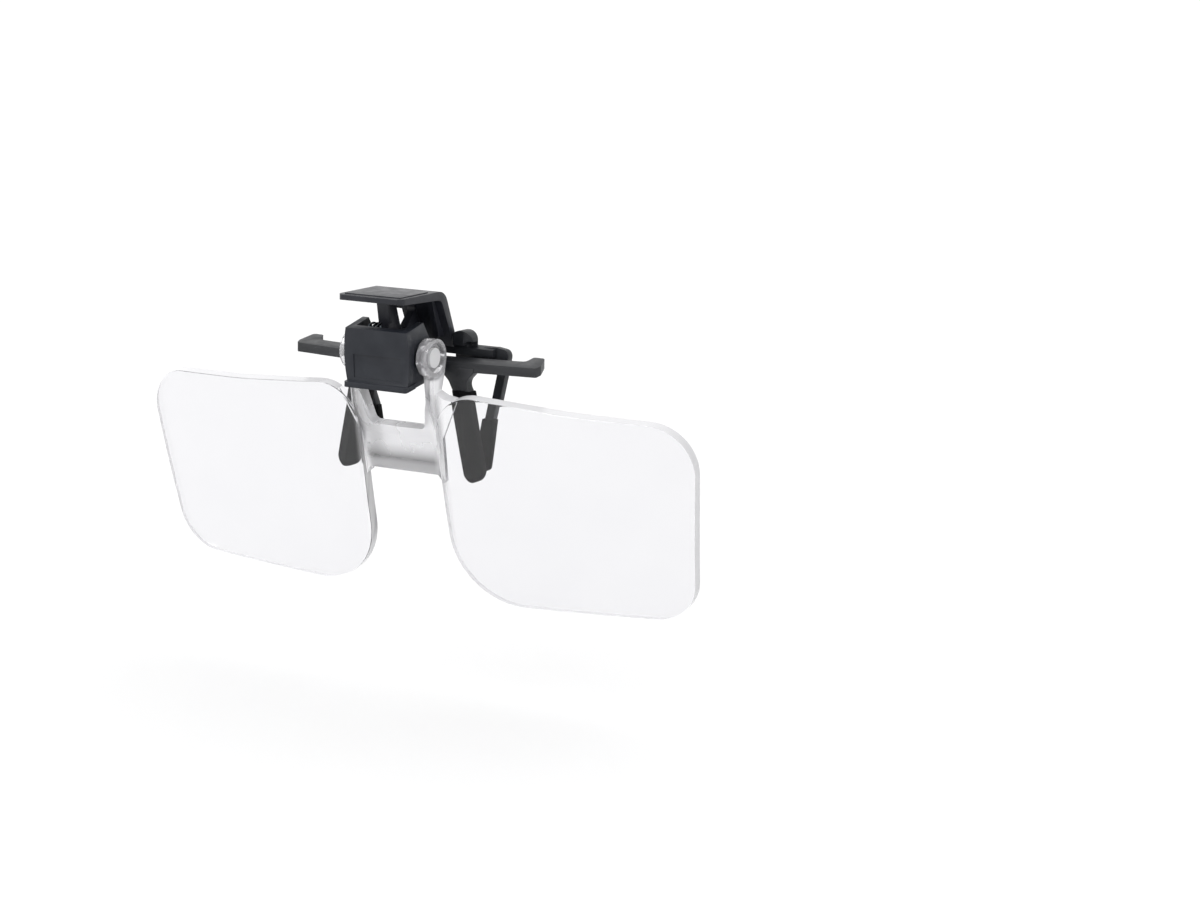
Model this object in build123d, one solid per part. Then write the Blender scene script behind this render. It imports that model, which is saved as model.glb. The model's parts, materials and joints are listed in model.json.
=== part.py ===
from build123d import *
import math
import os

# Clip-on flip-up loupe. Millimetres, X to the viewer's right, Y towards the wearer, Z up.
# Every piece is drawn about the flip axis of the lenses and then moved so that the origin lies
# in the middle of the grip, between the front and the rear rubber pads.

# Grip: where the middle of the closed jaws lies from the flip axis
grip_back = 10.4
grip_drop = 17.0

# General sizes
overrun = 5.0
tiny_round = 0.2
small_round = 0.5
running_clearance = 0.04
seat_clearance = 0.01
point_tolerance = 0.001
side_play = 0.2

# Twin lens: outline of one lens, as distances from the middle line and falls from its top inner corner
lens_plane_forward = 3.0
lens_top_drop = 6.9
lens_tilt = 14.0
lens_wrap = 4.5
lens_top_inner_x = 8.0
lens_top_inner_rise = 0.95
lens_top_inner_round = 7.8
lens_top_middle_x = 35.0
lens_top_middle_fall = 1.30
lens_top_middle_round = 60.0
lens_top_outer_x = 58.5
lens_top_outer_fall = 2.43
lens_top_outer_round = 8.7
lens_bottom_outer_x = 55.41
lens_bottom_outer_fall = 39.35
lens_bottom_outer_round = 8.06
lens_bottom_inner_x = 8.66
lens_bottom_inner_fall = 40.39
lens_bottom_inner_round = 13.65
lens_middle_x = 33.0
lens_middle_fall = 20.5
lens_middle_thickness = 2.5
lens_front_radius = 300.0
lens_back_radius = 520.0
lens_middle_bulge = 0.9
lens_rim_round = 0.3

# Twin lens: bridge bar between the lenses, falls measured from the lens's top inner corner
bridge_top_half = 5.8
bridge_top_fall = 6.6
bridge_bottom_half = 7.3
bridge_bottom_fall = 15.4
bridge_corner_round = 1.2
bridge_front_y = 1.6
bridge_thickness = 2.2

# Twin lens: ears and arms
ear_width = 2.1
ear_radius = 3.4
ear_recess_radius = 2.7
ear_recess_depth = 0.9
arm_front_top_y = 1.4
arm_front_top_rise = 4.0
arm_front_low_y = 0.8
arm_front_low_fall = 2.5
arm_rear_top_y = 6.3
arm_rear_top_rise = 6.2
arm_rear_mid_y = 5.0
arm_rear_mid_rise = 3.2
arm_rear_low_y = 3.9
arm_rear_low_rise = 0.65
arm_outer_low_x = 8.9
arm_outer_low_rise = 0.5
gusset_inset = 0.6
gusset_front_y = 1.6
gusset_root_x = 10.4
gusset_root_fall = 0.35
gusset_tip_x = 12.7
gusset_tip_fall = 0.7
gusset_foot_fall = 8.4
arm_foot_x = 8.5
arm_foot_fall = 17.4
window_knee_fall = 1.0

# Flip pins
flip_pin_radius = 1.2
flip_pin_head_radius = 1.8
flip_pin_head_length = 0.6
flip_pin_lip_radius = 1.4
flip_pin_lip_length = 0.25
friction_ring_radius = 1.7
friction_ring_length = 0.6

# Housing: side outline from the flip axis, widths and walls
housing_half = 6.4
housing_wall = 1.3
housing_back_wall = 0.7
housing_front_top_y = -5.62
housing_front_top_z = 4.78
housing_front_bottom_y = -4.95
housing_back_top_y = -0.1
housing_back_top_z = 6.1
housing_back_knee_y = 2.5
housing_back_knee_z = 2.4
housing_neck_z = -1.45
housing_floor_front_z = -5.88
housing_floor_slope = 9.5
housing_floor_thickness = 1.2
front_panel_depth = 1.9
front_panel_bulge = 0.45
ledge_front_y = -5.85
ledge_depth = 3.6
ledge_half = 6.65
ledge_thickness = 0.94
ledge_corner_cut = 0.5
badge_half = 4.9
badge_top_z = 0.1
badge_bottom_z = -4.1
badge_depth = 0.18
ear_boss_radius = 2.9

# Ears sit just outside the housing's bosses, which stand as proud as its bowed front panel
ear_inner_x = housing_half + front_panel_bulge + side_play
ear_outer_x = ear_inner_x + ear_width

# Jaw pin, its place from the flip axis, and the lever's barrel
jaw_axis_y = -1.0
jaw_axis_z = 3.7
jaw_pin_radius = 0.8
jaw_pin_socket_depth = 0.8
barrel_radius = 1.9
barrel_half = 0.8
lever_slot_play = 0.3

# Torsion spring
spring_wire = 0.42
spring_inner_radius = 1.4
spring_side_room = 1.35
spring_turns = 3
spring_start_gap = 0.12
spring_arc_steps = 4
spring_start_angle = 150.0
spring_end_angle = 180.0
spring_bend_share = 1.5
spring_hook_leg = 0.9
spring_hook_reach = 0.75
spring_gap_samples = 24

# Front jaw: plan and side of the crossbar with its hooked tips
bar_front_y = 5.6
bar_depth = 2.45
bar_height = 1.7
bar_top_z = -1.5
bar_slope = 15.0
bar_sweep_share = 0.065
bar_straight_half = 6.4
bar_tip_x = 25.6
bar_outer_x = 25.9
hook_depth = 5.6
hook_outer_x = 24.9
hook_inner_x = 22.6
hook_root_x = 20.2
hook_round = 0.7
hook_throat_round = 2.0
front_leg_x = 9.7
front_leg_neck_width = 3.4
front_leg_flare = 1.7
front_leg_lean = 4.2
front_leg_depth = 1.9
front_leg_front_y = 5.75
front_core_width = 2.4
front_core_depth = 0.9
front_core_front_y = 6.4
front_core_bottom_z = -20.0
front_collar_z = -6.55

# Front pads
front_pad_top_width = 3.9
front_pad_low_width = 4.6
front_pad_ridge_y = 5.2
front_pad_side_y = 6.1
front_pad_face_y = 7.9
front_pad_ridge_lean = 0.8
front_pad_tip_z = -22.7
front_pad_tip_round = 2.2

# Rear jaw: crossbar, shoulders and legs
rear_bar_front_y = 10.2
rear_bar_depth = 2.2
rear_bar_top_z = 0.6
rear_bar_height = 1.3
rear_bar_half = 14.7
under_rib_inner_x = 6.2
under_rib_depth = 1.1
under_rib_height = 1.2
shoulder_front_y = 11.2
shoulder_outer_x = 17.3
shoulder_rise = 0.4
shoulder_round = 1.2
rear_leg_depth = 1.5
rear_leg_knee_inner_x = 14.5
rear_leg_knee_outer_x = 16.2
rear_leg_knee_front_y = 12.0
rear_leg_knee_z = -4.2
rear_collar_z = -12.4
rear_collar_front_y = 13.1
rear_leg_foot_x = 12.95
rear_leg_width = 1.7
rear_core_width = 1.3
rear_core_depth = 0.8
rear_core_bottom_x = 11.85
rear_core_bottom_z = -18.8
boss_inner_x = 6.75
boss_width = 3.9
boss_round = 1.8
boss_height = 3.2
boss_depth = 1.5
boss_overhang = 1.5
boss_corner_round = 1.5
boss_underside_gap = 0.55
boss_notch_radius = 0.8
boss_notch_inset = 0.5
boss_notch_depth = 2.6

# Rear pads
rear_pad_top_width = 2.6
rear_pad_low_width = 3.4
rear_pad_low_x = 11.55
rear_pad_face_y = 12.9
rear_pad_side_y = 14.0
rear_pad_back_y = 14.8
rear_pad_tip_z = -22.0
rear_pad_tip_round = 1.45

# Thumb lever: thumb plate, bend and back plate as a bent strip
lever_overhang = 0.35
lever_half = housing_half + lever_overhang
lever_thickness = 1.3
plate_front_y = -7.8
plate_thickness = 1.05
plate_front_z = 11.0
plate_back_z = 11.15
knee_y = 6.5
plate_corner_round = 1.2
plate_bend_round = 3.0
back_plate_low_y = 11.2
back_plate_foot_depth = 1.43
grip_panel_raise = 0.18
grip_panel_inset = 0.9
grip_panel_back_y = 2.6
rib_inner_x = 4.0
rib_width = 1.2
rib_front_top_y = 4.3
rib_front_low_y = 7.0
rib_low_z = 2.6
back_window_inner_x = 2.4
back_window_outer_x = 5.55
back_window_low_z = 2.9
back_window_top_z = 9.6
back_window_round = 0.9
web_half = 0.75
web_front_top_y = -3.83
web_back_top_y = -0.5
web_front_low_y = -2.5
web_back_low_y = 1.5
web_low_z = 4.4
web_foot_z = 2.9
web_window_top_z = 9.7
web_window_back_y = 6.0
web_window_back_z = 7.2
web_window_low_y = 3.1
web_window_low_z = 4.3
web_window_round = 1.3
web_flange_depth = 0.75
web_flange_half = 1.15
web_flange_low_z = 5.8
web_flange_low_y = -2.9


def rounded_outline(corners):
    """Closed face through (u, v, round) corners, each turned by an arc of its own radius."""
    count = len(corners)
    starts = []
    ends = []
    middles = []
    for index, (u, v, radius) in enumerate(corners):
        here = Vector(u, v)
        before = corners[index - 1]
        after = corners[(index + 1) % count]
        to_before = (Vector(before[0], before[1]) - here).normalized()
        to_after = (Vector(after[0], after[1]) - here).normalized()
        if radius == 0:
            starts.append(here)
            ends.append(here)
            middles.append(None)
            continue
        half_angle = math.radians(to_before.get_angle(to_after)) / 2
        reach = radius / math.tan(half_angle)
        starts.append(here + to_before * reach)
        ends.append(here + to_after * reach)
        inward = (to_before + to_after).normalized()
        middles.append(here + inward * (radius / math.sin(half_angle) - radius))
    edges = []
    for index in range(count):
        if middles[index] is not None:
            edges.append(ThreePointArc(starts[index], middles[index], ends[index]))
        following = starts[(index + 1) % count]
        if (following - ends[index]).length > point_tolerance:
            edges.append(Line(ends[index], following))
    return make_face(edges)


def seen_from_front(corners, near_y, far_y):
    """Prism of an (x, z) outline between two depths."""
    plane = Plane(origin=(0, near_y, 0), x_dir=(1, 0, 0), z_dir=(0, -1, 0))
    return extrude(plane * rounded_outline(corners), amount=near_y - far_y)


def seen_from_side(corners, left_x, right_x):
    """Prism of a (y, z) outline between two widths."""
    plane = Plane(origin=(left_x, 0, 0), x_dir=(0, 1, 0), z_dir=(1, 0, 0))
    return extrude(plane * rounded_outline(corners), amount=right_x - left_x)


def seen_from_top(corners, low_z, high_z):
    """Prism of an (x, y) outline between two heights."""
    return extrude(Plane(origin=(0, 0, low_z)) * rounded_outline(corners), amount=high_z - low_z)


def block(low, high):
    """Box between two opposite corners."""
    return Pos(*low) * Box(*[b - a for a, b in zip(low, high)], align=(Align.MIN, Align.MIN, Align.MIN))


def rod(radius, left_x, right_x, y=0, z=0):
    """Round bar along X."""
    bar = Cylinder(radius, right_x - left_x, align=(Align.CENTER, Align.CENTER, Align.MIN))
    return Pos(left_x, y, z) * Rot(0, 90, 0) * bar


def mirrored_corners(corners):
    """Corners of the right half, followed by the same corners on the left."""
    return corners + [(-u, v, radius) for u, v, radius in reversed(corners)]


def both_sides(shape):
    return shape, mirror(shape, about=Plane.YZ)


def lens_blank():
    """One lens: the front-view outline filled with a meniscus of two spheres."""
    top = -lens_top_drop
    outline = [
        (lens_top_inner_x, top + lens_top_inner_rise, lens_top_inner_round),
        (lens_top_middle_x, top - lens_top_middle_fall, lens_top_middle_round),
        (lens_top_outer_x, top - lens_top_outer_fall, lens_top_outer_round),
        (lens_bottom_outer_x, top - lens_bottom_outer_fall, lens_bottom_outer_round),
        (lens_bottom_inner_x, top - lens_bottom_inner_fall, lens_bottom_inner_round),
    ]
    wrap = math.radians(lens_wrap)
    inward = Vector(-math.sin(wrap), math.cos(wrap), 0)
    chord_y = lens_middle_x * math.tan(wrap) - lens_plane_forward
    apex = Vector(lens_middle_x, chord_y, top - lens_middle_fall) - inward * lens_middle_bulge
    front_centre = apex + inward * lens_front_radius
    back_centre = apex + inward * (lens_middle_thickness + lens_back_radius)
    deep = lens_top_outer_x * math.tan(wrap) + overrun
    blank = seen_from_front(outline, -lens_plane_forward - overrun, deep)
    blank = blank & (Pos(*front_centre) * Sphere(lens_front_radius))
    blank = blank - Pos(*back_centre) * Sphere(lens_back_radius)
    rim = blank.faces().sort_by(Axis.Y)
    front_edges = rim[0].edges()
    return fillet(front_edges, lens_rim_round)


def lens_yoke():
    """Bridge bar and the two arms that carry the ears, cut from a front and a side outline."""
    top = -lens_top_drop
    outer = [
        (ear_outer_x, 0, 0),
        (ear_outer_x, top + arm_front_top_rise, small_round),
        (arm_outer_low_x, top + arm_outer_low_rise, small_round),
        (arm_outer_low_x, top - gusset_foot_fall, small_round),
        (arm_foot_x, top - arm_foot_fall, tiny_round),
        (bridge_bottom_half, top - bridge_bottom_fall, small_round),
    ]
    window = [
        (ear_inner_x, overrun, 0),
        (ear_inner_x, top - window_knee_fall, small_round),
        (bridge_top_half, top - bridge_top_fall, bridge_corner_round),
    ]
    front = bridge_front_y - lens_plane_forward
    back = front + bridge_thickness
    side = [
        (0, 0, 0),
        (arm_front_top_y - lens_plane_forward, top + arm_front_top_rise, small_round),
        (arm_front_low_y - lens_plane_forward, top - arm_front_low_fall, small_round),
        (front, top - gusset_foot_fall, small_round),
        (front, top - arm_foot_fall - overrun, 0),
        (back, top - arm_foot_fall - overrun, 0),
        (back, top - arm_front_low_fall, small_round),
        (arm_rear_low_y - lens_plane_forward, top + arm_rear_low_rise, small_round),
        (arm_rear_mid_y - lens_plane_forward, top + arm_rear_mid_rise, small_round),
        (arm_rear_top_y - lens_plane_forward, top + arm_rear_top_rise, small_round),
    ]
    yoke = seen_from_front(mirrored_corners(outer), -overrun, overrun)
    yoke = yoke - seen_from_front(mirrored_corners(window), -overrun - tiny_round, overrun + tiny_round)
    yoke = yoke & seen_from_side(side, -gusset_tip_x, gusset_tip_x)
    # gusset from the back half of the arm into the lens's top edge
    gusset_outline = [
        (ear_inner_x + gusset_inset, top + arm_outer_low_rise, small_round),
        (arm_outer_low_x, top + arm_outer_low_rise, small_round),
        (gusset_root_x, top - gusset_root_fall, small_round),
        (gusset_tip_x, top - gusset_tip_fall, small_round),
        (arm_outer_low_x, top - gusset_foot_fall, small_round),
        (ear_inner_x + gusset_inset, top - gusset_foot_fall, small_round),
    ]
    gusset = seen_from_front(gusset_outline, gusset_front_y - lens_plane_forward, back)
    for side_gusset in both_sides(gusset):
        yoke = yoke + side_gusset
    return yoke


def make_twin_lens():
    right_lens, left_lens = both_sides(lens_blank())
    right_ear, left_ear = both_sides(rod(ear_radius, ear_inner_x, ear_outer_x))
    body = right_lens + left_lens + lens_yoke() + right_ear + left_ear
    recess_floor = ear_outer_x - ear_recess_depth
    cuts = rod(ear_recess_radius, recess_floor, ear_outer_x + overrun)
    cuts = cuts + rod(flip_pin_radius + seat_clearance, ear_inner_x - side_play, ear_outer_x)
    for cut in both_sides(cuts):
        body = body - cut
    return Rot(lens_tilt, 0, 0) * body


def make_flip_pin():
    """Headed pin in the ear; its shank turns in the housing wall and its lip holds the ring."""
    head_seat = ear_outer_x - ear_recess_depth
    wall_inside = housing_half - housing_wall
    shank_end = wall_inside - seat_clearance - friction_ring_length - seat_clearance
    pin = rod(flip_pin_head_radius, head_seat, head_seat + flip_pin_head_length)
    pin = pin + rod(flip_pin_radius, shank_end - flip_pin_lip_length, head_seat)
    return pin + rod(flip_pin_lip_radius, shank_end - flip_pin_lip_length, shank_end)


def make_friction_ring():
    """Rubber ring squeezed on the pin against the inside of the housing wall."""
    outer_end = housing_half - housing_wall - seat_clearance
    ring = rod(friction_ring_radius, outer_end - friction_ring_length, outer_end)
    return ring - rod(flip_pin_radius, outer_end - friction_ring_length - overrun, outer_end + overrun)


def floor_z(y):
    """Underside of the housing at a depth, rising towards the back."""
    return housing_floor_front_z + (y - ledge_front_y) * math.tan(math.radians(housing_floor_slope))


def front_y(z):
    """Depth of the housing's front face at a height; it leans back towards the ledge."""
    share = (housing_front_top_z - z) / (housing_front_top_z - floor_z(housing_front_bottom_y))
    return housing_front_top_y + (housing_front_bottom_y - housing_front_top_y) * share


def housing_side_corners(inset):
    """Side outline of the box, or of its hollow when the walls are set in."""
    front = inset
    back = housing_back_wall if inset else 0
    low = housing_floor_thickness if inset else 0
    top = overrun if inset else 0
    bottom_back_y = housing_back_knee_y + (0 if inset else bar_front_y - housing_back_knee_y)
    corners = [
        (housing_front_top_y + front, housing_front_top_z + top, 0),
        (housing_front_bottom_y + front, floor_z(housing_front_bottom_y + front) + low, 0),
        (bottom_back_y - back, floor_z(bottom_back_y - back) + low, 0),
    ]
    if not inset:
        corners.append((bar_front_y, housing_neck_z, 0))
        corners.append((housing_back_knee_y, housing_neck_z, small_round))
    corners.append((housing_back_knee_y - back, housing_back_knee_z, small_round))
    corners.append((housing_back_top_y - back, housing_back_top_z + top, 0))
    return corners


def make_housing():
    inside_half = housing_half - housing_wall
    shell = seen_from_side(housing_side_corners(0), -housing_half, housing_half)
    # front panel with bowed sides
    panel_back_y = housing_front_top_y + front_panel_depth
    low_z = floor_z(housing_front_bottom_y) + ledge_thickness
    bow = ThreePointArc(
        (housing_half, low_z),
        (housing_half + front_panel_bulge, (low_z + housing_front_top_z) / 2),
        (housing_half, housing_front_top_z),
    )
    bowed = make_face([
        bow,
        Line((housing_half, housing_front_top_z), (-housing_half, housing_front_top_z)),
        mirror(bow, about=Plane.YZ),
        Line((-housing_half, low_z), (housing_half, low_z)),
    ])
    face_plane = Plane(origin=(0, panel_back_y, 0), x_dir=(1, 0, 0), z_dir=(0, -1, 0))
    panel = extrude(face_plane * bowed, amount=front_panel_depth + overrun)
    panel_side = [
        (housing_front_top_y, housing_front_top_z, 0),
        (front_y(low_z), low_z, 0),
        (panel_back_y, low_z, 0),
        (panel_back_y, housing_front_top_z, 0),
    ]
    panel = panel & seen_from_side(panel_side, -housing_half - overrun, housing_half + overrun)
    shell = shell + panel
    # finger ledge: the floor's lip at the front and along the front part of the sides
    ledge_back_y = ledge_front_y + ledge_depth
    ledge = seen_from_top(
        mirrored_corners([
            (ledge_half, ledge_front_y, small_round),
            (ledge_half, ledge_back_y - ledge_corner_cut, tiny_round),
            (ledge_half - ledge_corner_cut, ledge_back_y, tiny_round),
        ]),
        housing_floor_front_z - overrun,
        housing_front_top_z,
    )
    ledge_side = [
        (ledge_front_y - overrun, floor_z(ledge_front_y - overrun), 0),
        (ledge_back_y + overrun, floor_z(ledge_back_y + overrun), 0),
        (ledge_back_y + overrun, floor_z(ledge_back_y + overrun) + ledge_thickness, 0),
        (ledge_front_y - overrun, floor_z(ledge_front_y - overrun) + ledge_thickness, 0),
    ]
    ledge = ledge & seen_from_side(ledge_side, -ledge_half - overrun, ledge_half + overrun)
    shell = shell + ledge
    boss_end = housing_half + front_panel_bulge
    shell = shell + rod(ear_boss_radius, -boss_end, boss_end)
    # hollow, bare badge panel, pin sockets and flip bores
    shell = shell - seen_from_side(housing_side_corners(housing_wall), -inside_half, inside_half)
    badge = [
        (front_y(badge_top_z) - overrun, badge_top_z, 0),
        (front_y(badge_bottom_z) - overrun, badge_bottom_z, 0),
        (front_y(badge_bottom_z) + badge_depth, badge_bottom_z, 0),
        (front_y(badge_top_z) + badge_depth, badge_top_z, 0),
    ]
    shell = shell - seen_from_side(badge, -badge_half, badge_half)
    socket_half = inside_half + jaw_pin_socket_depth
    shell = shell - rod(jaw_pin_radius + seat_clearance, -socket_half, socket_half, jaw_axis_y, jaw_axis_z)
    bore_half = housing_half + overrun
    shell = shell - rod(flip_pin_radius + running_clearance, -bore_half, bore_half)
    # slot in the back wall for the lever's strut
    slot_half = web_flange_half + lever_slot_play
    slot_low_z = jaw_axis_z - barrel_radius - lever_slot_play
    slot_end = (slot_half, housing_back_knee_y + overrun, housing_back_top_z + overrun)
    return shell - block((-slot_half, jaw_axis_y, slot_low_z), slot_end)


def make_jaw_pin():
    half = housing_half - housing_wall + jaw_pin_socket_depth - seat_clearance
    pin = rod(jaw_pin_radius, -half, half, jaw_axis_y, jaw_axis_z)
    return chamfer(pin.edges().filter_by(GeomType.CIRCLE), tiny_round)


def front_leg_centre(z):
    """X of the middle of a front leg at a height; the legs spread downwards."""
    share = (bar_top_z - z) / (bar_top_z - front_pad_tip_z)
    return front_leg_x + front_leg_lean * share


def make_front_jaw():
    sweep = bar_sweep_share * (bar_tip_x - bar_straight_half)
    hook_root_y = bar_front_y + bar_depth + bar_sweep_share * (hook_root_x - bar_straight_half)
    plan = [
        (bar_straight_half, bar_front_y, 0),
        (bar_tip_x, bar_front_y + sweep, small_round),
        (bar_outer_x, bar_front_y + bar_depth, small_round),
        (hook_outer_x, bar_front_y + hook_depth, hook_round),
        (hook_inner_x, bar_front_y + hook_depth, small_round),
        (hook_root_x + hook_throat_round, hook_root_y + tiny_round, hook_throat_round / 2),
        (hook_root_x, hook_root_y, small_round),
        (bar_straight_half, bar_front_y + bar_depth, 0),
    ]
    bar = seen_from_top(mirrored_corners(plan), bar_top_z - overrun, bar_top_z + overrun)
    rise = math.tan(math.radians(bar_slope)) * (hook_depth + overrun)
    drop = math.tan(math.radians(bar_slope)) * overrun
    side = [
        (bar_front_y - overrun, bar_top_z - bar_height - drop, 0),
        (bar_front_y + hook_depth + overrun, bar_top_z - bar_height + rise, 0),
        (bar_front_y + hook_depth + overrun, bar_top_z + rise, 0),
        (bar_front_y - overrun, bar_top_z - drop, 0),
    ]
    jaw = bar & seen_from_side(side, -bar_outer_x - overrun, bar_outer_x + overrun)
    # leg: neck with flared root, then the core inside the pad
    neck_half = front_leg_neck_width / 2
    root_z = bar_top_z - bar_height / 2
    root_x = front_leg_centre(root_z)
    collar_x = front_leg_centre(front_collar_z)
    neck = [
        (root_x - neck_half - front_leg_flare, root_z, 0),
        (root_x - neck_half - front_leg_flare, bar_top_z - bar_height, 0),
        (root_x - neck_half, bar_top_z - bar_height - front_leg_flare, front_leg_flare),
        (collar_x - neck_half, front_collar_z, 0),
        (collar_x + neck_half, front_collar_z, 0),
        (root_x + neck_half, bar_top_z - bar_height - front_leg_flare, front_leg_flare),
        (root_x + neck_half + front_leg_flare, bar_top_z - bar_height, 0),
        (root_x + neck_half + front_leg_flare, root_z, 0),
    ]
    neck_back_y = front_leg_front_y + front_leg_depth
    leg = seen_from_front(neck, front_leg_front_y, neck_back_y)
    leg = leg + front_core(0)
    for side_leg in both_sides(leg):
        jaw = jaw + side_leg
    return jaw


def front_core(gap):
    """Core of a right front leg inside its pad, or the socket for it when a gap is given."""
    core_half = front_core_width / 2 + gap
    collar_x = front_leg_centre(front_collar_z)
    bottom_z = front_core_bottom_z - gap
    core_x = front_leg_centre(bottom_z)
    top_z = front_collar_z + (overrun if gap else small_round)
    top_x = front_leg_centre(top_z)
    near_y = front_core_front_y - gap
    corners = [
        (top_x - core_half, top_z, 0),
        (core_x - core_half, bottom_z, small_round),
        (core_x + core_half, bottom_z, small_round),
        (top_x + core_half, top_z, 0),
    ]
    return seen_from_front(corners, near_y, near_y + front_core_depth + gap + gap)


def make_front_pad():
    """Right front pad: flat towards the rear pad, ridged at the front, wider and rounded at the tip."""
    top_half = front_pad_top_width / 2
    low_half = front_pad_low_width / 2
    top_x = front_leg_centre(front_collar_z)
    low_x = front_leg_centre(front_pad_tip_z)
    outline = [
        (top_x - top_half, front_collar_z, tiny_round),
        (low_x - low_half, front_pad_tip_z, front_pad_tip_round),
        (low_x + low_half, front_pad_tip_z, front_pad_tip_round),
        (top_x + top_half, front_collar_z, tiny_round),
    ]
    section = [
        (top_x - low_half, front_pad_face_y, small_round),
        (top_x - low_half, front_pad_side_y, small_round),
        (top_x, front_pad_ridge_y, small_round),
        (top_x + low_half, front_pad_side_y, small_round),
        (top_x + low_half, front_pad_face_y, small_round),
    ]
    lean = Vector(low_x - top_x, front_pad_ridge_lean, front_pad_tip_z - front_collar_z)
    ridge_face = Plane(origin=(0, 0, front_collar_z)) * rounded_outline(section)
    body = extrude(ridge_face, amount=lean.length, dir=lean)
    body = body & seen_from_front(outline, front_pad_ridge_y - overrun, front_pad_face_y + overrun)
    side = [
        (front_pad_ridge_y - overrun, front_collar_z, 0),
        (front_pad_ridge_y, front_pad_tip_z, front_pad_tip_round / 2),
        (front_pad_face_y, front_pad_tip_z, small_round),
        (front_pad_face_y, front_collar_z, 0),
    ]
    body = body & seen_from_side(side, top_x - low_half - overrun, low_x + low_half + overrun)
    return body - front_core(seat_clearance)


def rear_core(gap):
    """Core of a right rear leg inside its pad, or the socket for it when a gap is given."""
    half = rear_core_width / 2 + gap
    top_z = rear_collar_z + (overrun if gap else small_round)
    bottom_z = rear_core_bottom_z - gap
    near_y = rear_collar_front_y + (rear_leg_depth - rear_core_depth) / 2 - gap
    corners = [
        (rear_leg_foot_x - half, top_z, 0),
        (rear_leg_foot_x - half, rear_collar_z, 0),
        (rear_core_bottom_x - half, bottom_z, small_round),
        (rear_core_bottom_x + half, bottom_z, small_round),
        (rear_leg_foot_x + half, rear_collar_z, 0),
        (rear_leg_foot_x + half, top_z, 0),
    ]
    return seen_from_front(corners, near_y, near_y + rear_core_depth + gap + gap)


def make_rear_pad():
    """Right rear pad: flat face towards the front pad, rounded ridge at the back, wider at the tip."""
    top_half = rear_pad_top_width / 2
    low_half = rear_pad_low_width / 2
    low_x = rear_pad_low_x
    top_x = rear_leg_foot_x
    outline = [
        (top_x - top_half, rear_collar_z, tiny_round),
        (low_x - low_half, rear_pad_tip_z, rear_pad_tip_round),
        (low_x + low_half, rear_pad_tip_z, rear_pad_tip_round),
        (top_x + top_half, rear_collar_z, tiny_round),
    ]
    section = [
        (top_x - low_half, rear_pad_face_y, small_round),
        (top_x + low_half, rear_pad_face_y, small_round),
        (top_x + low_half, rear_pad_side_y, small_round),
        (top_x, rear_pad_back_y, small_round),
        (top_x - low_half, rear_pad_side_y, small_round),
    ]
    lean = Vector(low_x - top_x, 0, rear_pad_tip_z - rear_collar_z)
    ridge_face = Plane(origin=(0, 0, rear_collar_z)) * rounded_outline(section)
    body = extrude(ridge_face, amount=lean.length, dir=lean)
    body = body & seen_from_front(outline, rear_pad_face_y - overrun, rear_pad_back_y + overrun)
    side = [
        (rear_pad_face_y, rear_collar_z, 0),
        (rear_pad_face_y, rear_pad_tip_z, small_round),
        (rear_pad_back_y, rear_pad_tip_z, small_round),
        (rear_pad_back_y, rear_collar_z, 0),
    ]
    body = body & seen_from_side(side, low_x - low_half - overrun, top_x + low_half + overrun)
    return body - rear_core(seat_clearance)


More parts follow.
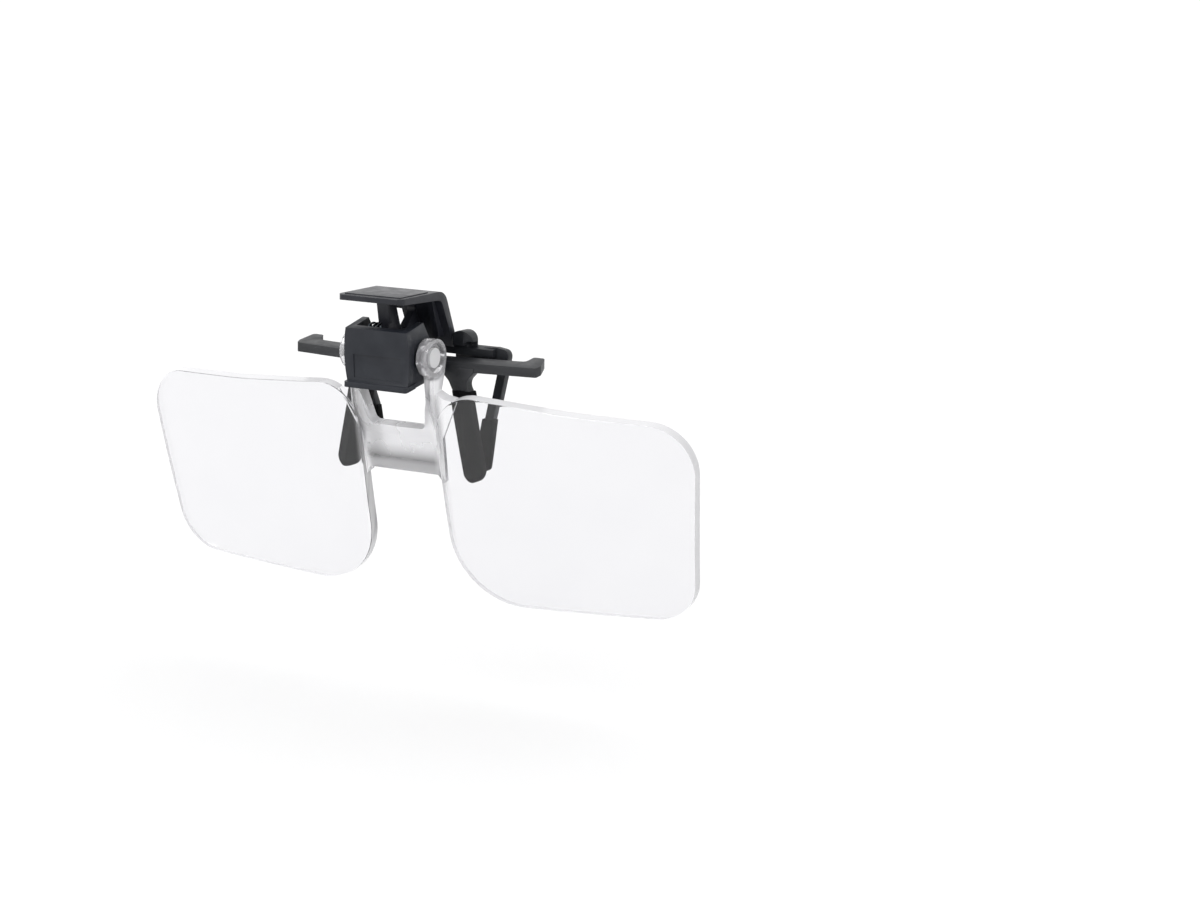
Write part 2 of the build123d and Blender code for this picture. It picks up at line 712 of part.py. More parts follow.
def make_rear_jaw():
    bar_low_z = rear_bar_top_z - rear_bar_height
    bar_back_y = rear_bar_front_y + rear_bar_depth
    jaw = block((-rear_bar_half, rear_bar_front_y, bar_low_z), (rear_bar_half, bar_back_y, rear_bar_top_z))
    # shoulder that curves down into the leg
    shoulder_top_z = rear_bar_top_z + shoulder_rise
    foot_half = rear_leg_width / 2
    shoulder = [
        (rear_bar_half - overrun, bar_low_z, 0),
        (rear_leg_knee_inner_x, bar_low_z, tiny_round),
        (rear_leg_knee_inner_x, rear_leg_knee_z, small_round),
        (rear_leg_foot_x - foot_half, rear_collar_z, 0),
        (rear_leg_foot_x + foot_half, rear_collar_z, 0),
        (rear_leg_knee_outer_x, rear_leg_knee_z, small_round),
        (shoulder_outer_x, bar_low_z, small_round),
        (shoulder_outer_x, shoulder_top_z - shoulder_rise, shoulder_round),
        (rear_bar_half, shoulder_top_z, small_round),
        (rear_bar_half - overrun, rear_bar_top_z, 0),
    ]
    shoulder_back_y = shoulder_front_y + rear_leg_depth
    leg_back_y = rear_collar_front_y + rear_leg_depth
    side = [
        (shoulder_front_y, shoulder_top_z + overrun, 0),
        (shoulder_front_y, bar_low_z, small_round),
        (rear_leg_knee_front_y, rear_leg_knee_z, small_round),
        (rear_collar_front_y, rear_collar_z, 0),
        (leg_back_y, rear_collar_z, 0),
        (rear_leg_knee_front_y + rear_leg_depth, rear_leg_knee_z, small_round),
        (shoulder_back_y, bar_low_z, small_round),
        (shoulder_back_y, shoulder_top_z + overrun, 0),
    ]
    leg = seen_from_front(shoulder, shoulder_front_y - overrun, leg_back_y + overrun)
    leg = leg & seen_from_side(side, rear_bar_half - overrun, shoulder_outer_x + overrun)
    leg = leg + rear_core(0)
    under_rib = block(
        (under_rib_inner_x, bar_back_y - under_rib_depth, bar_low_z - under_rib_height),
        (rear_bar_half, bar_back_y, bar_low_z),
    )
    # rounded boss beside the lever's back plate, which reaches forward over the bar
    boss_outer_x = boss_inner_x + boss_width
    boss_front_y = rear_bar_front_y - boss_overhang
    boss_back_y = rear_bar_front_y + boss_depth
    boss_low_z = rear_bar_top_z + boss_underside_gap
    boss_top_z = rear_bar_top_z + boss_height
    boss = seen_from_front(
        [
            (boss_inner_x, bar_low_z, 0),
            (boss_outer_x, bar_low_z, 0),
            (boss_outer_x, boss_top_z, boss_round),
            (boss_inner_x, boss_top_z, boss_round),
        ],
        boss_front_y,
        boss_back_y,
    )
    boss = boss & seen_from_top(
        [
            (boss_inner_x, boss_front_y, small_round),
            (boss_outer_x, boss_front_y, boss_corner_round),
            (boss_outer_x, boss_back_y, 0),
            (boss_inner_x, boss_back_y, 0),
        ],
        bar_low_z,
        boss_top_z,
    )
    boss = boss - block(
        (boss_inner_x - overrun, boss_front_y - overrun, bar_low_z - overrun),
        (boss_outer_x + overrun, rear_bar_front_y, boss_low_z),
    )
    # arch cut up into the boss's lower edge, over the bar
    notch = Cylinder(boss_notch_radius, boss_notch_depth, rotation=(90, 0, 0))
    boss = boss - Pos(boss_outer_x - boss_notch_inset, boss_front_y + boss_notch_depth / 2, boss_low_z) * notch
    # the bar's top rises to the rear, from the boss out to the shoulder
    ridge = seen_from_side(
        [
            (rear_bar_front_y, rear_bar_top_z, 0),
            (bar_back_y, shoulder_top_z, 0),
            (bar_back_y, bar_low_z, 0),
            (rear_bar_front_y, bar_low_z, 0),
        ],
        boss_outer_x - boss_width / 2,
        rear_bar_half,
    )
    for side_piece in both_sides(leg + boss + ridge + under_rib):
        jaw = jaw + side_piece
    return jaw


def make_thumb_lever():
    run = Vector(knee_y - plate_front_y, plate_back_z - plate_front_z).normalized()
    fall = Vector(back_plate_low_y - knee_y, rear_bar_top_z - plate_back_z).normalized()
    top_normal = Vector(-run.Y, run.X)
    back_normal = Vector(-fall.Y, fall.X)
    front_top = Vector(plate_front_y, plate_front_z)
    knee = Vector(knee_y, plate_back_z)
    low = Vector(back_plate_low_y, rear_bar_top_z)
    inner_front = front_top - top_normal * plate_thickness
    inner_knee = knee - top_normal * plate_thickness - back_normal * lever_thickness
    inner_low_y = back_plate_low_y - back_plate_foot_depth
    strip_corners = [
        (front_top.X, front_top.Y, tiny_round),
        (inner_front.X, inner_front.Y, tiny_round),
        (inner_knee.X, inner_knee.Y, plate_bend_round - lever_thickness),
        (inner_low_y, rear_bar_top_z, 0),
        (low.X, low.Y, 0),
        (knee.X, knee.Y, plate_bend_round),
    ]
    lever = seen_from_side(strip_corners, -lever_half, lever_half)
    plan = mirrored_corners([
        (lever_half, plate_front_y, plate_corner_round),
        (lever_half, back_plate_low_y + overrun, 0),
    ])
    lever = lever & seen_from_top(plan, 0, plate_back_z + overrun)
    # raised grip panel on the thumb plate
    panel_front = front_top + run * grip_panel_inset
    panel_back = front_top + run * (grip_panel_back_y - plate_front_y)
    raise_by = top_normal * grip_panel_raise
    panel = seen_from_side(
        [
            ((panel_front - raise_by).X, (panel_front - raise_by).Y, 0),
            ((panel_back - raise_by).X, (panel_back - raise_by).Y, 0),
            ((panel_back + raise_by).X, (panel_back + raise_by).Y, 0),
            ((panel_front + raise_by).X, (panel_front + raise_by).Y, 0),
        ],
        -lever_half + grip_panel_inset,
        lever_half - grip_panel_inset,
    )
    panel_plan = mirrored_corners([
        (lever_half - grip_panel_inset, panel_front.X, plate_corner_round - grip_panel_inset),
        (lever_half - grip_panel_inset, panel_back.X, small_round),
    ])
    panel = panel & seen_from_top(panel_plan, 0, plate_back_z + overrun)
    # ribs under the bend: one inside the right edge, one along the left edge
    rib = [
        (rib_front_top_y, inner_knee.Y + small_round, 0),
        (rib_front_low_y, rib_low_z, 0),
        (inner_low_y + small_round, rib_low_z, 0),
        (inner_knee.X + small_round, inner_knee.Y + small_round, 0),
    ]
    lever = lever + panel + seen_from_side(rib, rib_inner_x, rib_inner_x + rib_width)
    lever = lever + seen_from_side(rib, -lever_half, rib_width - lever_half)
    # rounded window in the left half of the back plate
    back_window = seen_from_front(
        [
            (-back_window_outer_x, back_window_low_z, back_window_round),
            (-back_window_inner_x, back_window_low_z, back_window_round),
            (-back_window_inner_x, back_window_top_z, back_window_round),
            (-back_window_outer_x, back_window_top_z, back_window_round),
        ],
        knee_y,
        back_plate_low_y + overrun,
    )
    lever = lever - back_window
    # strut and web: one thin plate from the barrel to the thumb plate and the back plate,
    # with an arched window
    web = [
        (web_front_top_y, plate_front_z - tiny_round, 0),
        (web_front_low_y, web_low_z, 0),
        (jaw_axis_y - barrel_radius + small_round, jaw_axis_z, 0),
        (jaw_axis_y + small_round, web_foot_z, 0),
        (back_plate_low_y - lever_thickness - small_round, web_foot_z, 0),
        (inner_knee.X + tiny_round, inner_knee.Y + tiny_round, 0),
    ]
    web_window = [
        (web_back_top_y, web_window_top_z, small_round),
        (web_back_low_y, web_window_low_z, small_round),
        (web_window_low_y, web_window_low_z, small_round),
        (web_window_back_y, web_window_back_z, web_window_round),
        (web_window_back_y - small_round, web_window_top_z, small_round),
    ]
    strut = seen_from_side(web, -web_half, web_half)
    strut = strut - seen_from_side(web_window, -web_half - overrun, web_half + overrun)
    flange = [
        (web_front_top_y, plate_front_z - small_round, 0),
        (web_flange_low_y, web_flange_low_z, 0),
        (web_flange_low_y + web_flange_depth, web_flange_low_z, 0),
        (web_front_top_y + web_flange_depth, plate_front_z - small_round, 0),
    ]
    strut = strut + seen_from_side(flange, -web_flange_half, web_flange_half)
    lever = lever + strut + rod(barrel_radius, -barrel_half, barrel_half, jaw_axis_y, jaw_axis_z)
    bore = rod(jaw_pin_radius + running_clearance, -overrun, overrun, jaw_axis_y, jaw_axis_z)
    hook_hole = spring_hook_point()
    hole_radius = spring_wire / 2 + running_clearance
    reach = spring_start_gap + spring_hook_reach
    hole = rod(hole_radius, -barrel_half - reach, -barrel_half + reach, hook_hole.Y, hook_hole.Z)
    return lever - bore - hole


def coil_radius():
    return spring_inner_radius + spring_wire / 2


def coil_start_x():
    return -barrel_half - spring_start_gap - spring_wire / 2


def coil_pitch():
    """The turns share the room between the strut and the housing's side wall."""
    end_x = -(housing_half - housing_wall - spring_side_room)
    turns = spring_turns + math.radians(spring_end_angle - spring_start_angle) / math.tau
    return (coil_start_x() - end_x) / turns


def coil_point(turn):
    """Point and tangent of the coil's middle line after a number of turns from the strut outwards."""
    angle = math.tau * turn + math.radians(spring_start_angle)
    radius = coil_radius()
    place = Vector(
        coil_start_x() - coil_pitch() * turn,
        jaw_axis_y + radius * math.cos(angle),
        jaw_axis_z + radius * math.sin(angle),
    )
    along = Vector(
        -coil_pitch() / math.tau,
        -radius * math.sin(angle),
        radius * math.cos(angle),
    ).normalized()
    return place, along


def spring_hook_point():
    """Corner where the upper leg of the spring turns into the strut."""
    place, along = coil_point(0)
    return place - Vector(0, along.Y, along.Z).normalized() * spring_hook_leg


def biarc(start, start_along, end, end_along):
    """Two arcs that join two points and keep both directions."""
    chord = end - start
    both = start_along + end_along
    spread = 2 * (1 - start_along.dot(end_along))
    reach = (-chord.dot(both) + math.sqrt(chord.dot(both) ** 2 + spread * chord.dot(chord))) / spread
    first = start + start_along * reach
    second = end - end_along * reach
    joint = (first + second) / 2
    return [
        TangentArc(start, joint, tangent=start_along),
        TangentArc(joint, end, tangent=(second - first).normalized()),
    ]


def make_torsion_spring():
    """Round wire: hook into the strut, turns about the pin, leg down to the housing's floor."""
    edges = []
    bend = spring_wire * spring_bend_share
    start, start_along = coil_point(0)
    leg_along = Vector(0, start_along.Y, start_along.Z).normalized()
    corner = spring_hook_point()
    hook_along = Vector(-1, 0, 0)
    tip = corner - hook_along * spring_hook_reach
    hook_bend_start = corner - hook_along * bend
    hook_bend_end = corner + leg_along * bend
    edges.append(Line(tip, hook_bend_start))
    edges.append(TangentArc(hook_bend_start, hook_bend_end, tangent=hook_along))
    leg_middle = hook_bend_end + leg_along * ((start - hook_bend_end).length / 2)
    edges.append(Line(hook_bend_end, leg_middle))
    edges.extend(biarc(leg_middle, leg_along, start, start_along))
    steps = int(spring_turns * spring_arc_steps)
    extra_share = math.radians(spring_end_angle - spring_start_angle) / math.tau
    for step in range(steps):
        here = coil_point(step / spring_arc_steps)
        there = coil_point((step + 1) / spring_arc_steps)
        edges.extend(biarc(*here, *there))
    here = coil_point(spring_turns)
    there = coil_point(spring_turns + extra_share)
    edges.extend(biarc(*here, *there))
    place, down = there
    floor_top = floor_z(place.Y) + housing_floor_thickness
    rest_leg = place.Z - floor_top - spring_wire / 2
    edges.append(Line(place, place + down * rest_leg))
    path = Wire(edges)
    section = Plane(origin=tip, z_dir=hook_along) * Circle(spring_wire / 2)
    report_coil_gap()
    return sweep(section, path=path)


def report_coil_gap():
    """Least free gap between the points of neighbouring turns."""
    least = coil_pitch() * spring_turns
    for first in range(spring_gap_samples * spring_turns):
        for second in range(first + spring_gap_samples // 2, spring_gap_samples * spring_turns):
            there = coil_point(second / spring_gap_samples)[0]
            distance = (coil_point(first / spring_gap_samples)[0] - there).length
            least = min(least, distance - spring_wire)
    print("least gap of the spring to itself, mm:", round(least, 3))


def save(name, shape):
    """Move a piece into the grip frame and write it."""
    placed = Pos(0, -grip_back, grip_drop) * shape
    placed.label = name
    export_step(placed, f"parts/{name}.step")
    box = placed.bounding_box()
    print(name, len(placed.solids()), round(placed.volume, 2), box.min, box.max)


def main():
    os.makedirs("parts", exist_ok=True)
    save("twin_lens", make_twin_lens())
    save("housing", make_housing())
    save("front_jaw", make_front_jaw())
    save("jaw_pin", make_jaw_pin())
    save("thumb_lever", make_thumb_lever())
    save("rear_jaw", make_rear_jaw())
    save("torsion_spring", make_torsion_spring())
    pairs = {
        "front_pad": make_front_pad(),
        "rear_pad": make_rear_pad(),
        "flip_pin": make_flip_pin(),
        "friction_ring": make_friction_ring(),
    }
    for name, piece in pairs.items():
        right, left = both_sides(piece)
        save(f"{name}_right", right)
        save(f"{name}_left", left)


main()
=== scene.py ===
import json
import math

import bmesh
import bpy
from mathutils import Matrix, Vector


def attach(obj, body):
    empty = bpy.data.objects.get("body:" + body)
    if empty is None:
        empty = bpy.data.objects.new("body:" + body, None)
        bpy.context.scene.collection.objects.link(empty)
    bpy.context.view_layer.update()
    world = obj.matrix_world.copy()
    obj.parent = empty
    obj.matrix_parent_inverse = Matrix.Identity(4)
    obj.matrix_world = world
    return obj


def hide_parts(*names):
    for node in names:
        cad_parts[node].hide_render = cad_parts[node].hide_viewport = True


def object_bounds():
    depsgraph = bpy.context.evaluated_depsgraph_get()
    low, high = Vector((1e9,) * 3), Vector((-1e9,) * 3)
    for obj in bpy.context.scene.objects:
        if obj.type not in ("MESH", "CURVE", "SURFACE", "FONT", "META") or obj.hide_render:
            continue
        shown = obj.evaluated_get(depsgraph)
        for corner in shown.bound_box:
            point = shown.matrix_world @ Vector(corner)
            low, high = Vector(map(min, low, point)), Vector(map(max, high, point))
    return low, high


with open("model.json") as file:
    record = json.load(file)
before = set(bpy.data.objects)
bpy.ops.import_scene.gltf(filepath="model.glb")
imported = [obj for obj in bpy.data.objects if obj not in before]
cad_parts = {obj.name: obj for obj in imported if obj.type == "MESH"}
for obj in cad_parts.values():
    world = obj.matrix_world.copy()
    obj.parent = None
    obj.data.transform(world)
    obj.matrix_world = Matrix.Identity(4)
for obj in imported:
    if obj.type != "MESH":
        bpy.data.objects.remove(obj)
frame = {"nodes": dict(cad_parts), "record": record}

CAD_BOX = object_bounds()
MM = 0.001

# Camera: fitted to the outlines of both lenses, in the part's own frame
CAMERA_PLACE = Vector((0.25114, -0.39618, 0.08889))
CAMERA_RIGHT = Vector((0.87728, 0.47946, 0.02245))
CAMERA_UP = Vector((-0.11029, 0.15585, 0.98160))
CAMERA_LOOK = Vector((-0.46714, 0.86362, -0.18960))
CAMERA_LENS = 78.0
CAMERA_SENSOR = 36.0
CAMERA_CLIP_START = 0.01

# Clear moulding, its regions: bridge and arms near the middle line, ears round the flip axis, lenses outside,
# and the edges, which don't face along the lens axis
BRIDGE_EDGE_X = 9.6 * MM
BRIDGE_BLEND = 2.2 * MM
# the painted shade band spans the bridge out to this half width, and the painted reflection streaks lie
# beyond it
PAINTED_SHADE_HALF_X = 6.6 * MM
PAINTED_SHADE_BLEND = 1.6 * MM
FLIP_AXIS_Y = -10.4 * MM
FLIP_AXIS_Z = 17.0 * MM
EAR_REACH = 3.4 * MM
EAR_BLEND = 1.0 * MM
LENS_AXIS = (0.0, 0.970, 0.242)
EDGE_FACING_LOW = 0.25
EDGE_FACING_HIGH = 0.7

# Clear moulding, roughness: polished lenses with a faint smear, frosted bridge and arms
SMEAR_SCALE = 140.0
POLISH_STOPS = (0.45, 0.8)
POLISH_LOW = 0.0
POLISH_HIGH = 0.02
FROST_STOPS = (0.3, 0.7)
FROST_LOW = 0.20
FROST_HIGH = 0.34
EDGE_ROUGHNESS = 0.12
EAR_ROUGHNESS = 0.06

# Clear moulding, share of light that passes: milky ears and pin heads, whitish edges
BRIDGE_CLEARNESS = 0.60
EAR_CLEARNESS = 0.78
PIN_CLEARNESS = 0.42
EDGE_CLEARNESS = 0.45

# Clear moulding, colour: a faint tint, and grey streaks down the arms, which are painted reflections
TINT_SCALE = 90.0
TINT_STOPS = (0.2, 0.8)
CLEAR_TINT = (0.872, 0.870, 0.890, 1)
CLEAR_TINT_PALE = (0.892, 0.890, 0.908, 1)
REFLECTION_STREAK_SCALE = 520.0
REFLECTION_STREAK_STRETCH = (1, 0.8, 0.10)
REFLECTION_STREAK_STOPS = (0.38, 0.58)
REFLECTION_STREAK_DARK = (0.36, 0.355, 0.375, 1)
REFLECTION_STREAK_PALE = (0.96, 0.955, 0.965, 1)
# Painted shade down the bridge bar, by height in the part's frame: a greyer band above the lower lip, in
# place of dark refraction
PAINTED_SHADE_LOW_Z = -5.2 * MM
PAINTED_SHADE_HIGH_Z = 3.8 * MM
PAINTED_SHADE_TONES = (
    (0.0, 0.72),
    (0.10, 0.55),
    (0.19, 0.50),
    (0.28, 0.32),
    (0.43, 0.70),
    (0.58, 0.93),
    (0.93, 0.95),
    (1.0, 0.80),
)

# Clear moulding, surface
WAVE_SCALE = 60.0
CLEAR_WAVINESS = 0.02
CLEAR_IOR = 1.49
CLEAR_SPECULAR = 0.36
CLEAR_GLOSS = (0.72, 0.72, 0.72, 1)

# Moulded plastic and rubber: mottling, uneven gloss and a fine grain
MOTTLE_SCALE = 260.0
MOTTLE_STOPS = (0.35, 0.68)
GLOSS_SCALE = 620.0
GLOSS_STOPS = (0.3, 0.7)
PLASTIC_GRAIN = 5200.0
RUBBER_GRAIN = 3800.0
GRAIN_ROUGHNESS = 0.6
PLASTIC_IOR = 1.5
BUMP_HEIGHT = 0.04 * MM

# Spring steel, brushed along the part's width
BRUSH_SCALE = 900.0
BRUSH_ROUGHNESS = 0.6
BRUSH_STRETCH = (0.05, 1, 1)
BRUSH_STOPS = (0.3, 0.7)
STEEL_DARK = (0.07, 0.085, 0.10, 1)
STEEL_LIGHT = (0.12, 0.14, 0.16, 1)
STEEL_ROUGH_LOW = 0.30
STEEL_ROUGH_HIGH = 0.42

# Edge rounds of the moulded pieces
PLASTIC_ROUND = 0.16 * MM
JAW_ROUND = 0.24 * MM
FINE_ROUND = 0.10 * MM
ROUND_SEGMENTS = 3
FLAT_ANGLE = math.radians(1)
SHARP_ANGLE = math.radians(28)
SMOOTH_ANGLE = math.radians(40)
MERGE_DISTANCE = 0.002 * MM

# Floor
FLOOR_GAP = 0.018
FLOOR_HALF = 6.0
FLOOR_CLOUD_SCALE = 3.0
FLOOR_STOPS = (0.2, 0.8)
FLOOR_LOW = 0.90
FLOOR_HIGH = 0.93
FLOOR_ROUGHNESS = 0.9

# Even white studio: a little less bright from straight above than from the sides
SKY_STOPS = (0.3, 0.95)
SKY_SIDE = 1.02
SKY_TOP = 0.92
SKY_STRENGTH = 1.2
LIGHT_AIM = Vector((0, 0, 0))

# Sockets of the Mix node that carry colours
MIX_SHARE = 0
MIX_FIRST = 6
MIX_SECOND = 7
MIX_RESULT = 2


def new_material(name):
    """Empty node material with a Principled shader."""
    material = bpy.data.materials.new(name)
    material.use_nodes = True
    nodes = material.node_tree.nodes
    nodes.clear()
    output = nodes.new("ShaderNodeOutputMaterial")
    shader = nodes.new("ShaderNodeBsdfPrincipled")
    material.node_tree.links.new(shader.outputs[0], output.inputs[0])
    return material, nodes, material.node_tree.links, shader


def object_noise(nodes, links, scale, detail, roughness=0.5, stretch=(1, 1, 1)):
    """Noise in the piece's own coordinates."""
    coordinates = nodes.new("ShaderNodeTexCoord")
    mapping = nodes.new("ShaderNodeMapping")
    mapping.inputs["Scale"].default_value = stretch
    noise = nodes.new("ShaderNodeTexNoise")
    noise.inputs["Scale"].default_value = scale
    noise.inputs["Detail"].default_value = detail
    noise.inputs["Roughness"].default_value = roughness
    links.new(coordinates.outputs["Object"], mapping.inputs["Vector"])
    links.new(mapping.outputs["Vector"], noise.inputs["Vector"])
    return noise.outputs[0]


def ramp_between(nodes, links, source, stops, low_value, high_value):
    """Colour ramp from one colour at the first stop to another at the second."""
    ramp = nodes.new("ShaderNodeValToRGB")
    for element, stop, value in zip(ramp.color_ramp.elements, stops, (low_value, high_value)):
        element.position = stop
        element.color = value
    links.new(source, ramp.inputs[0])
    return ramp.outputs[0]


def grey(value):
    """Opaque grey."""
    return (value, value, value, 1)


def add_bump(nodes, links, shader, height, strength):
    """Bump from a height socket on a shader."""
    bump = nodes.new("ShaderNodeBump")
    bump.inputs["Strength"].default_value = strength
    bump.inputs["Distance"].default_value = BUMP_HEIGHT
    links.new(height, bump.inputs["Height"])
    links.new(bump.outputs[0], shader.inputs["Normal"])


def moulded_plastic(name, dark, light, rough_low, rough_high, grain, bump_strength, specular):
    """Moulded plastic: slight mottling, uneven gloss and a fine spark-eroded grain."""
    material, nodes, links, shader = new_material(name)
    mottle = object_noise(nodes, links, MOTTLE_SCALE, detail=3.0)
    links.new(ramp_between(nodes, links, mottle, MOTTLE_STOPS, dark, light), shader.inputs["Base Color"])
    gloss = object_noise(nodes, links, GLOSS_SCALE, detail=2.0)
    roughness = ramp_between(nodes, links, gloss, GLOSS_STOPS, grey(rough_low), grey(rough_high))
    links.new(roughness, shader.inputs["Roughness"])
    fine = object_noise(nodes, links, grain, detail=2.0, roughness=GRAIN_ROUGHNESS)
    add_bump(nodes, links, shader, fine, bump_strength)
    shader.inputs["IOR"].default_value = PLASTIC_IOR
    shader.inputs["Specular IOR Level"].default_value = specular
    return material


def share_between(nodes, links, source, low, high):
    """0 below low, 1 above high, smooth between."""
    spread = nodes.new("ShaderNodeMapRange")
    spread.interpolation_type = "SMOOTHSTEP"
    spread.inputs["From Min"].default_value = low
    spread.inputs["From Max"].default_value = high
    links.new(source, spread.inputs[0])
    return spread.outputs[0]


def magnitude(nodes, links, source):
    """Value without its sign."""
    step = nodes.new("ShaderNodeMath")
    step.operation = "ABSOLUTE"
    links.new(source, step.inputs[0])
    return step.outputs[0]


def mixed(nodes, links, share, first, second, blend="MIX"):
    """Mix of two colours or values by a share."""
    mix = nodes.new("ShaderNodeMix")
    mix.data_type = "RGBA"
    mix.blend_type = blend
    for place, value in ((MIX_SHARE, share), (MIX_FIRST, first), (MIX_SECOND, second)):
        if isinstance(value, (float, tuple)):
            mix.inputs[place].default_value = value
        else:
            links.new(value, mix.inputs[place])
    return mix.outputs[MIX_RESULT]


def clear_acrylic(name, ear_clearness):
    """Polished clear acrylic: frosted bridge and arms, milky ears and whitish edges."""
    material, nodes, links, shader = new_material(name)
    coordinates = nodes.new("ShaderNodeTexCoord")
    split = nodes.new("ShaderNodeSeparateXYZ")
    links.new(coordinates.outputs["Object"], split.inputs[0])
    across = magnitude(nodes, links, split.outputs["X"])
    lens_share = share_between(nodes, links, across, BRIDGE_EDGE_X - BRIDGE_BLEND, BRIDGE_EDGE_X)
    beside_painted_shade = share_between(nodes, links, across, PAINTED_SHADE_HALF_X, PAINTED_SHADE_HALF_X + PAINTED_SHADE_BLEND)
    # distance from the flip axis
    centre = nodes.new("ShaderNodeVectorMath")
    centre.operation = "MULTIPLY_ADD"
    centre.inputs[1].default_value = (0, 1, 1)
    centre.inputs[2].default_value = (0, -FLIP_AXIS_Y, -FLIP_AXIS_Z)
    links.new(coordinates.outputs["Object"], centre.inputs[0])
    reach = nodes.new("ShaderNodeVectorMath")
    reach.operation = "LENGTH"
    links.new(centre.outputs[0], reach.inputs[0])
    off_ear = share_between(nodes, links, reach.outputs["Value"], EAR_REACH, EAR_REACH + EAR_BLEND)
    # faces that look along the lens axis are polished, the edges between them are not
    facing = nodes.new("ShaderNodeVectorMath")
    facing.operation = "DOT_PRODUCT"
    facing.inputs[1].default_value = LENS_AXIS
    links.new(coordinates.outputs["Normal"], facing.inputs[0])
    along = magnitude(nodes, links, facing.outputs["Value"])
    face_share = share_between(nodes, links, along, EDGE_FACING_LOW, EDGE_FACING_HIGH)
    # roughness
    smear = object_noise(nodes, links, SMEAR_SCALE, detail=3.0)
    polish = ramp_between(nodes, links, smear, POLISH_STOPS, grey(POLISH_LOW), grey(POLISH_HIGH))
    frost = ramp_between(nodes, links, smear, FROST_STOPS, grey(FROST_LOW), grey(FROST_HIGH))
    rim = mixed(nodes, links, face_share, grey(EDGE_ROUGHNESS), polish)
    body_roughness = mixed(nodes, links, lens_share, frost, rim)
    roughness = mixed(nodes, links, off_ear, grey(EAR_ROUGHNESS), body_roughness)
    links.new(roughness, shader.inputs["Roughness"])
    # clearness
    rim_clearness = mixed(nodes, links, face_share, grey(EDGE_CLEARNESS), grey(1))
    body_clearness = mixed(nodes, links, lens_share, grey(BRIDGE_CLEARNESS), rim_clearness)
    clearness = mixed(nodes, links, off_ear, grey(ear_clearness), body_clearness)
    links.new(clearness, shader.inputs["Transmission Weight"])
    # colour: faint tint in the lenses, painted reflection streaks down the arms, and a painted shade band
    # across the bridge
    cloud = object_noise(nodes, links, TINT_SCALE, detail=2.0)
    tint = ramp_between(nodes, links, cloud, TINT_STOPS, CLEAR_TINT, CLEAR_TINT_PALE)
    # painted reflections: dark grey streaks in the arms' colour
    reflection_streak = object_noise(nodes, links, REFLECTION_STREAK_SCALE, detail=2.0, stretch=REFLECTION_STREAK_STRETCH)
    reflection_streaks = ramp_between(nodes, links, reflection_streak, REFLECTION_STREAK_STOPS, REFLECTION_STREAK_DARK, REFLECTION_STREAK_PALE)
    # painted shade: a greyer band across the bridge, by height
    height = nodes.new("ShaderNodeMapRange")
    height.inputs["From Min"].default_value = PAINTED_SHADE_LOW_Z
    height.inputs["From Max"].default_value = PAINTED_SHADE_HIGH_Z
    links.new(split.outputs["Z"], height.inputs[0])
    painted_shade_band = nodes.new("ShaderNodeValToRGB")
    for position, tone in PAINTED_SHADE_TONES:
        stop = painted_shade_band.color_ramp.elements.new(position)
        stop.color = grey(tone)
    # the two stops that a new ramp comes with
    painted_shade_band.color_ramp.elements.remove(painted_shade_band.color_ramp.elements[0])
    painted_shade_band.color_ramp.elements.remove(painted_shade_band.color_ramp.elements[-1])
    links.new(height.outputs[0], painted_shade_band.inputs[0])
    # the tint darkened by the painted shade band
    bridge_with_painted_shade = mixed(nodes, links, 1.0, tint, painted_shade_band.outputs[0], "MULTIPLY")
    middle_shade_and_reflections = mixed(nodes, links, beside_painted_shade, bridge_with_painted_shade, reflection_streaks)
    links.new(mixed(nodes, links, lens_share, middle_shade_and_reflections, tint), shader.inputs["Base Color"])
    add_bump(nodes, links, shader, object_noise(nodes, links, WAVE_SCALE, detail=1.0), CLEAR_WAVINESS)
    shader.inputs["IOR"].default_value = CLEAR_IOR
    shader.inputs["Specular IOR Level"].default_value = CLEAR_SPECULAR
    shader.inputs["Specular Tint"].default_value = CLEAR_GLOSS
    return material


def brushed_steel(name):
    """Dark spring steel with fine brushing."""
    material, nodes, links, shader = new_material(name)
    brush = object_noise(
        nodes, links, BRUSH_SCALE, detail=3.0, roughness=BRUSH_ROUGHNESS, stretch=BRUSH_STRETCH
    )
    tone = ramp_between(nodes, links, brush, BRUSH_STOPS, STEEL_DARK, STEEL_LIGHT)
    links.new(tone, shader.inputs["Base Color"])
    roughness = ramp_between(nodes, links, brush, BRUSH_STOPS, grey(STEEL_ROUGH_LOW), grey(STEEL_ROUGH_HIGH))
    links.new(roughness, shader.inputs["Roughness"])
    shader.inputs["Metallic"].default_value = 1.0
    return material


def set_material(item, material):
    """Give a piece one material."""
    item.data.materials.clear()
    item.data.materials.append(material)


